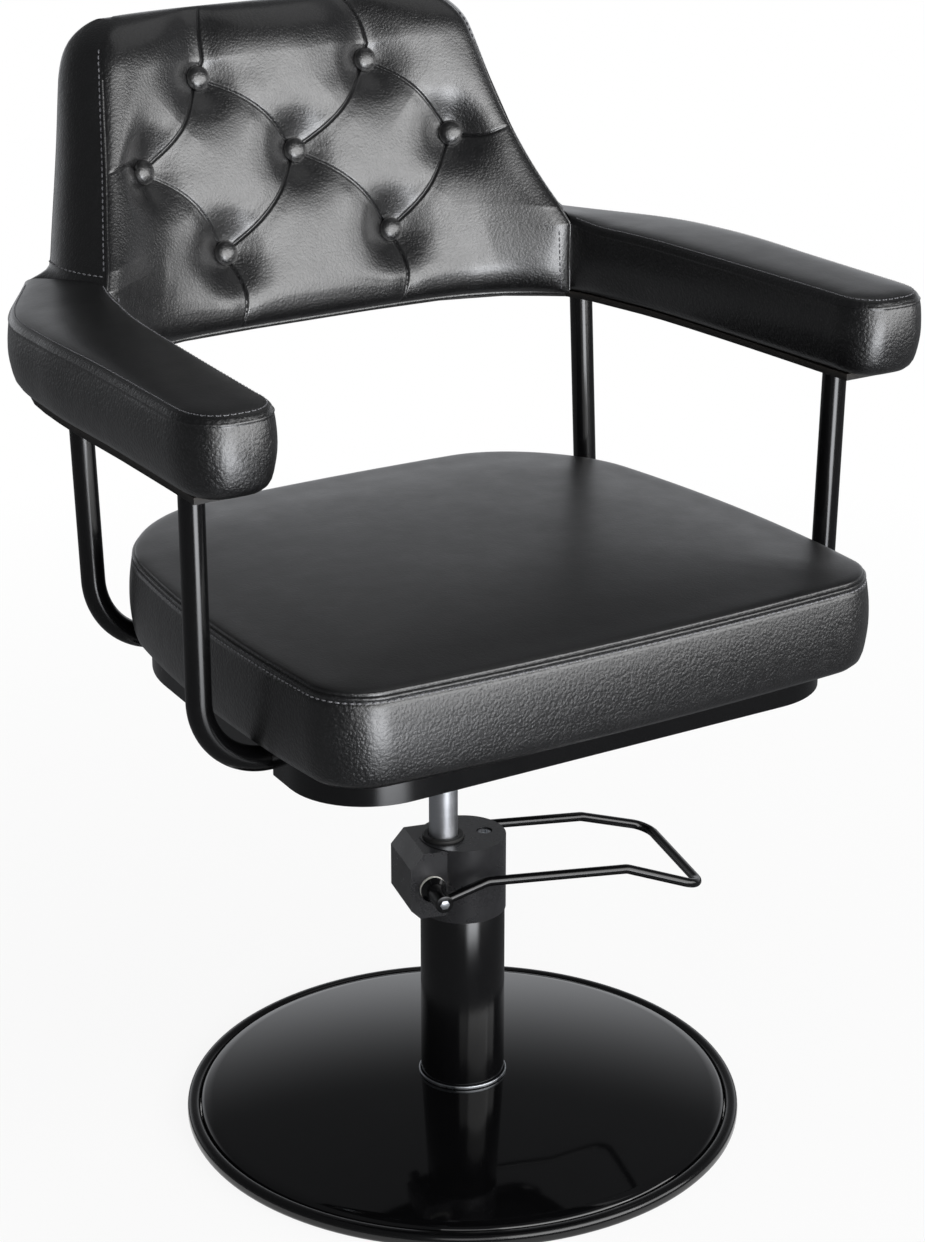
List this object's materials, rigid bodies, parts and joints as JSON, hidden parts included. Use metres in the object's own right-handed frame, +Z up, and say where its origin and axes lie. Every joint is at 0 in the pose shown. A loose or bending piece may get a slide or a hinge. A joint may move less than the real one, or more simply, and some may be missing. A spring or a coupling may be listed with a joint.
{
  "type": "hairdressing chair",
  "caption": "Hydraulic salon chair with a buttoned wrap-around back, padded arms on bent-tube hoops, a boxed swivel seat, a foot-pump column and a round base.",
  "frame": {"origin": "on the floor, under the middle of the round base", "axes": "+Z up; the sitter faces -Y; +X is the sitter's left hand, the pedal side"},
  "size_m": [0.7327, 0.6363, 1.0165],
  "materials": {
    "leather": "fine-grained black leather, satin",
    "plywood": "raw birch plywood",
    "gloss_black_steel": "gloss black enamel",
    "satin_black_steel": "satin black powder coat",
    "zinc_steel": "zinc plated",
    "chrome": "hard chrome",
    "nylon": "moulded",
    "rubber": "matt"
  },
  "bodies": {
    "base": {"base_plate": "zinc_steel", "base_disc": "gloss_black_steel", "base_rim": "satin_black_steel", "column_flange": "satin_black_steel", "column_sleeve": "satin_black_steel", "column_foot_ring": "zinc_steel", "pump_cylinder": "zinc_steel", "pump_head": "satin_black_steel", "gland_ring": "rubber", "filler_screw": "zinc_steel", "plunger_spring": "zinc_steel"},
    "lift": {"ram_piston": "zinc_steel"},
    "seat": {"ram": "chrome", "taper_boss": "satin_black_steel", "mount_plate": "satin_black_steel", "seat_pan": "satin_black_steel", "front_hoop": "satin_black_steel", "rear_hoop": "satin_black_steel", "hoop_saddle_front_left": "nylon", "hoop_saddle_front_right": "nylon", "hoop_saddle_rear_left": "nylon", "hoop_saddle_rear_right": "nylon", "hoop_strap_front_left": "zinc_steel", "hoop_strap_front_right": "zinc_steel", "hoop_strap_rear_left": "zinc_steel", "hoop_strap_rear_right": "zinc_steel", "seat_board": "plywood", "seat_cushion": "leather", "arm_rail": "plywood", "arm_pad_left": "leather", "arm_pad_right": "leather", "back_board": "plywood", "back_pad": "leather", "back_cover": "leather", "back_button_1": "leather", "back_button_2": "leather", "back_button_3": "leather", "back_button_4": "leather", "back_button_5": "leather", "back_button_6": "leather", "back_button_7": "leather"},
    "pedal": {"pedal_shaft": "zinc_steel", "pedal_hub_near": "satin_black_steel", "pedal_hub_far": "satin_black_steel", "pedal_bush_near": "nylon", "pedal_bush_far": "nylon", "pedal_rocker": "zinc_steel", "pedal_rod": "satin_black_steel"},
    "plunger": {"pump_plunger": "zinc_steel"}
  },
  "joints": [
    {"name": "lift_slide", "type": "slide", "parent": "base", "child": "lift", "axis": [0, 0, 1], "range_m": [-0.085, 0.055]},
    {"name": "seat_swivel", "type": "hinge", "parent": "lift", "child": "seat", "pos_m": [-0.01824, 0.00455, 0.3], "axis": [0, 0, 1], "continuous": true},
    {"name": "pedal_hinge", "type": "hinge", "parent": "base", "child": "pedal", "pos_m": [-0.03881, 0.00968, 0.249], "axis": [0.2419, 0.9703, 0], "range_deg": [-8, 26], "stiffness_Nm_per_rad": 6, "springref_deg": -5.73},
    {"name": "plunger_slide", "type": "slide", "parent": "base", "child": "plunger", "axis": [0, 0, 1], "range_m": [-0.0018, 0.0056], "deforming": ["plunger_spring"]}
  ],
  "couplings": [
    {"joint": "plunger_slide", "follows": "pedal_hinge", "m_per_rad": 0.0115}
  ]
}
